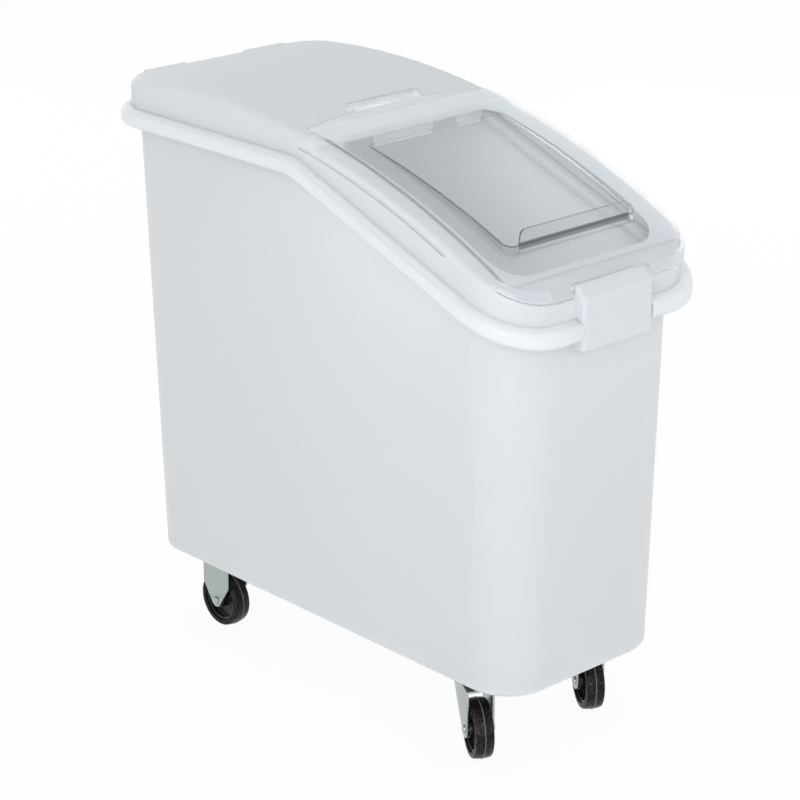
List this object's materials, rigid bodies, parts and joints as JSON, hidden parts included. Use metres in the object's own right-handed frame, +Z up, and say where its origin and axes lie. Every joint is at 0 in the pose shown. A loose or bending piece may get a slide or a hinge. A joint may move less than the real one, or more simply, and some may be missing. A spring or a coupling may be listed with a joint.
{
  "type": "mobile ingredient bin",
  "caption": "Slant-top mobile ingredient bin with an opaque lift-off cover, a clear sliding door with a pull fin, a front pull grip and plate-mounted casters.",
  "frame": {"origin": "on the floor under the middle of the bin's bounding box", "axes": "+Z up, -Y towards the front with the pull grip, +X to the right seen from the front"},
  "size_m": [0.352, 0.744, 0.756],
  "materials": {
    "tub_plastic": "satin",
    "cover_plastic": "satin",
    "clear_plastic": "clear, polished",
    "zinc_steel": "zinc plated",
    "axle_steel": "turned",
    "ring_steel": "polished",
    "hub_plastic": "moulded",
    "tyre_rubber": "smooth tread"
  },
  "bodies": {
    "bin": {"bin_tub": "tub_plastic", "mounting_bolts": "zinc_steel", "front_plates": "zinc_steel", "front_thrust_rings": "ring_steel", "front_kingpins": "axle_steel", "front_kingpin_nuts": "zinc_steel", "rear_axle_bolts": "zinc_steel", "rear_axle_nuts": "zinc_steel", "rear_sleeves": "axle_steel", "rear_left_bracket": "zinc_steel", "rear_right_bracket": "zinc_steel"},
    "cover": {"lid_cover": "cover_plastic"},
    "door": {"sliding_door": "clear_plastic"},
    "front_left_swivel": {"front_left_fork": "zinc_steel", "front_left_axle_bolt": "zinc_steel", "front_left_axle_nut": "zinc_steel", "front_left_sleeve": "axle_steel"},
    "front_left_wheel": {"front_left_wheel_hub": "hub_plastic", "front_left_tyre": "tyre_rubber"},
    "rear_left_wheel": {"rear_left_wheel_hub": "hub_plastic", "rear_left_tyre": "tyre_rubber"},
    "front_right_swivel": {"front_right_fork": "zinc_steel", "front_right_axle_bolt": "zinc_steel", "front_right_axle_nut": "zinc_steel", "front_right_sleeve": "axle_steel"},
    "front_right_wheel": {"front_right_wheel_hub": "hub_plastic", "front_right_tyre": "tyre_rubber"},
    "rear_right_wheel": {"rear_right_wheel_hub": "hub_plastic", "rear_right_tyre": "tyre_rubber"}
  },
  "joints": [
    {"name": "cover_lift", "type": "slide", "parent": "bin", "child": "cover", "axis": [0, 0, 1], "range_m": [0, 0.15]},
    {"name": "door_slide", "type": "hinge", "parent": "cover", "child": "door", "pos_m": [0, 0.2, -0.37], "axis": [-1, 0, 0], "range_deg": [0, 15]},
    {"name": "front_left_swivel_turn", "type": "hinge", "parent": "bin", "child": "front_left_swivel", "pos_m": [-0.097, -0.235, 0.09], "axis": [0, 0, 1], "continuous": true},
    {"name": "front_left_wheel_spin", "type": "hinge", "parent": "front_left_swivel", "child": "front_left_wheel", "pos_m": [-0.113, -0.26271, 0.0381], "axis": [0.866, -0.5, 0], "continuous": true},
    {"name": "rear_left_wheel_spin", "type": "hinge", "parent": "bin", "child": "rear_left_wheel", "pos_m": [-0.097, 0.24, 0.0381], "axis": [1, 0, 0], "continuous": true},
    {"name": "front_right_swivel_turn", "type": "hinge", "parent": "bin", "child": "front_right_swivel", "pos_m": [0.097, -0.235, 0.09], "axis": [0, 0, 1], "continuous": true},
    {"name": "front_right_wheel_spin", "type": "hinge", "parent": "front_right_swivel", "child": "front_right_wheel", "pos_m": [0.081, -0.26271, 0.0381], "axis": [0.866, -0.5, 0], "continuous": true},
    {"name": "rear_right_wheel_spin", "type": "hinge", "parent": "bin", "child": "rear_right_wheel", "pos_m": [0.097, 0.24, 0.0381], "axis": [1, 0, 0], "continuous": true}
  ]
}
